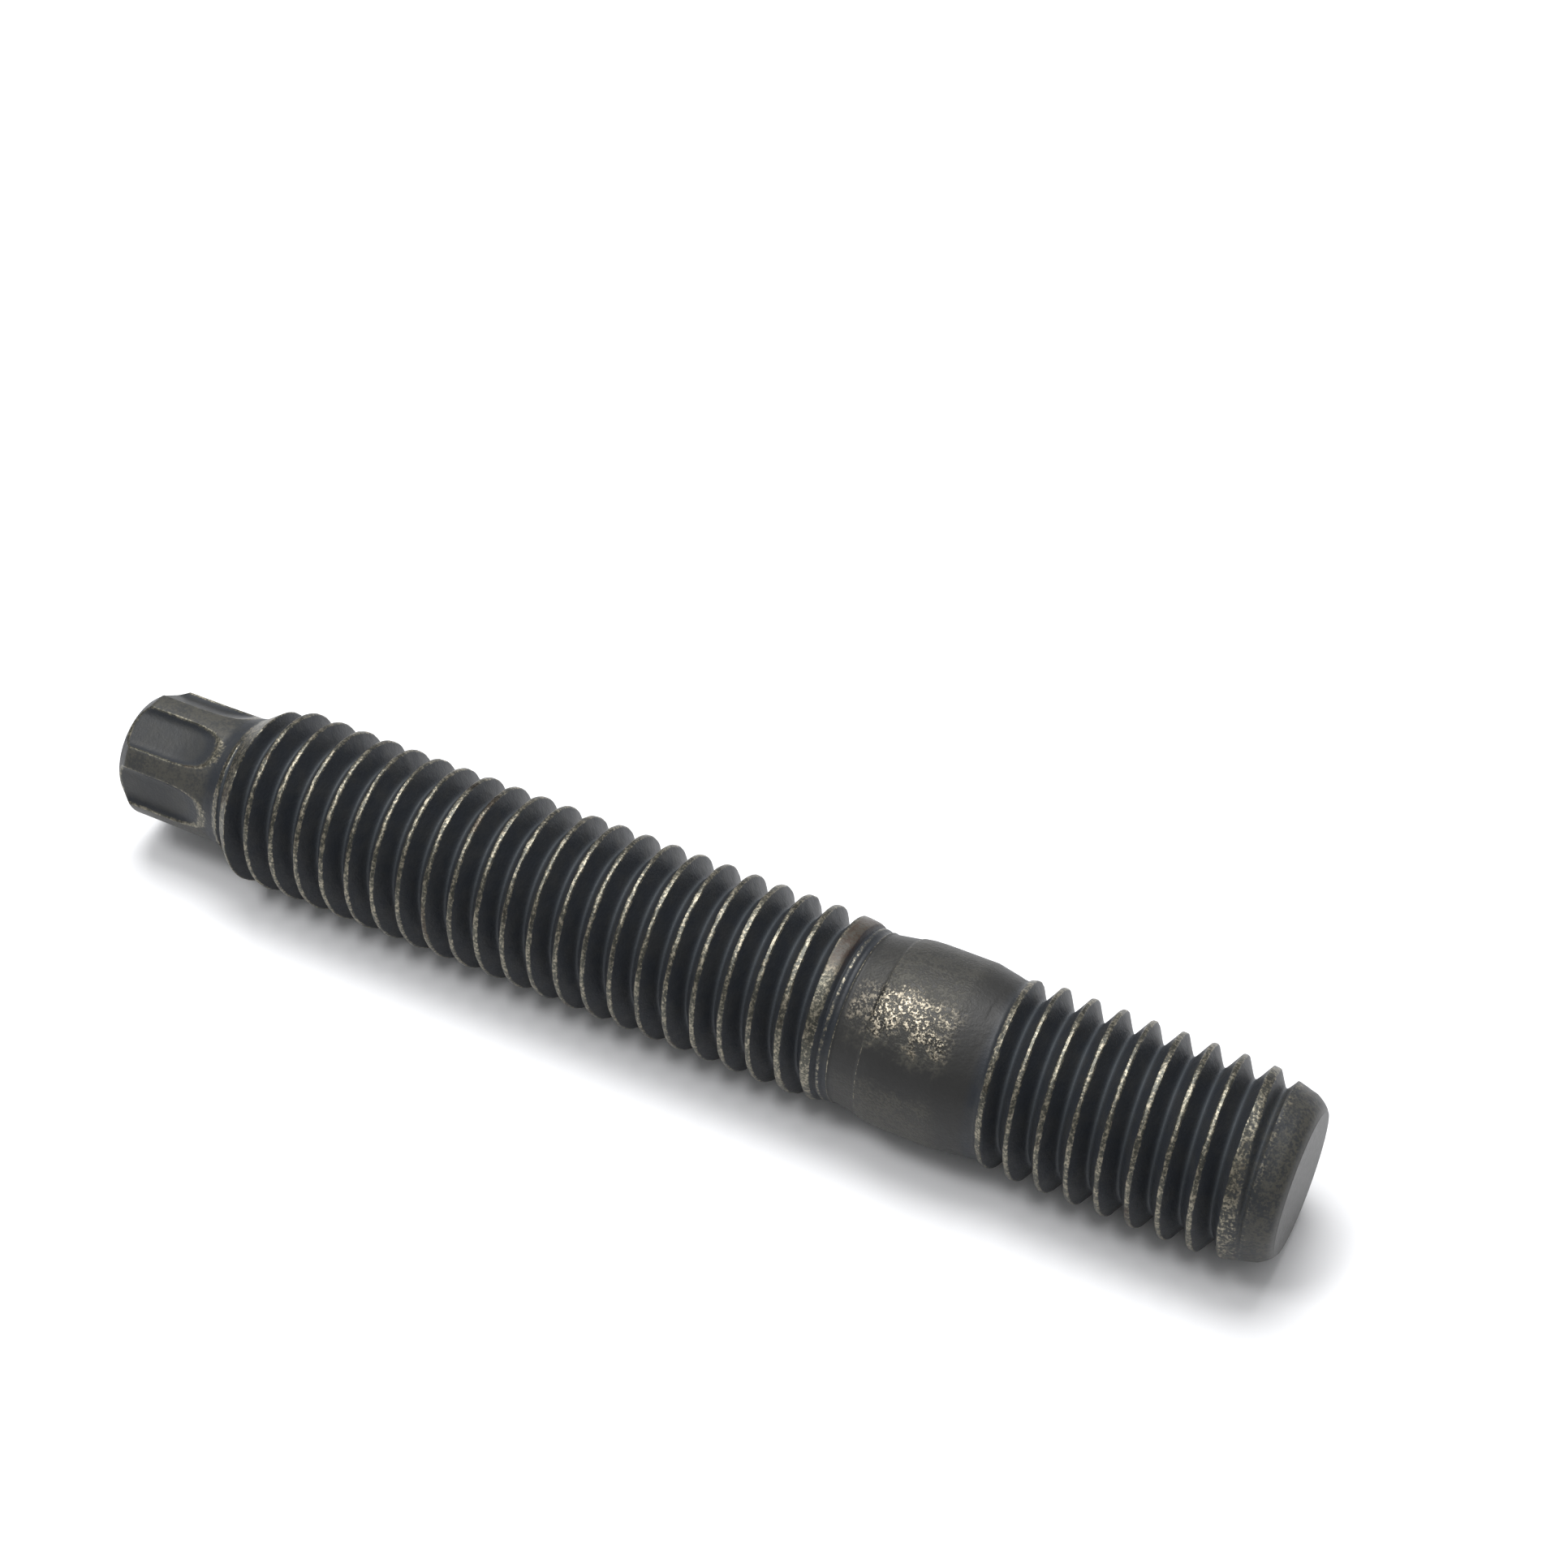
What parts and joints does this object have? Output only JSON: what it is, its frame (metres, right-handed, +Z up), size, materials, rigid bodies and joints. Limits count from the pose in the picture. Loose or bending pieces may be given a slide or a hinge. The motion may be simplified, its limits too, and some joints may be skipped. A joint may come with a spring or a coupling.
{
  "type": "double ended stud",
  "caption": "Double ended steel stud with a long and a short right-hand thread either side of a plain collar and an external six-lobe drive on the long end.",
  "frame": {"origin": "on the floor, at the middle of the flat end that the stud stands on", "axes": "+Z up along the stud's axis, from the flat end to the drive"},
  "size_m": [0.0078, 0.0078, 0.0531],
  "materials": {
    "black_steel": "black oxide, worn to bare metal on the thread crests"
  },
  "bodies": {
    "root": {"stud": "black_steel"}
  },
  "joints": []
}
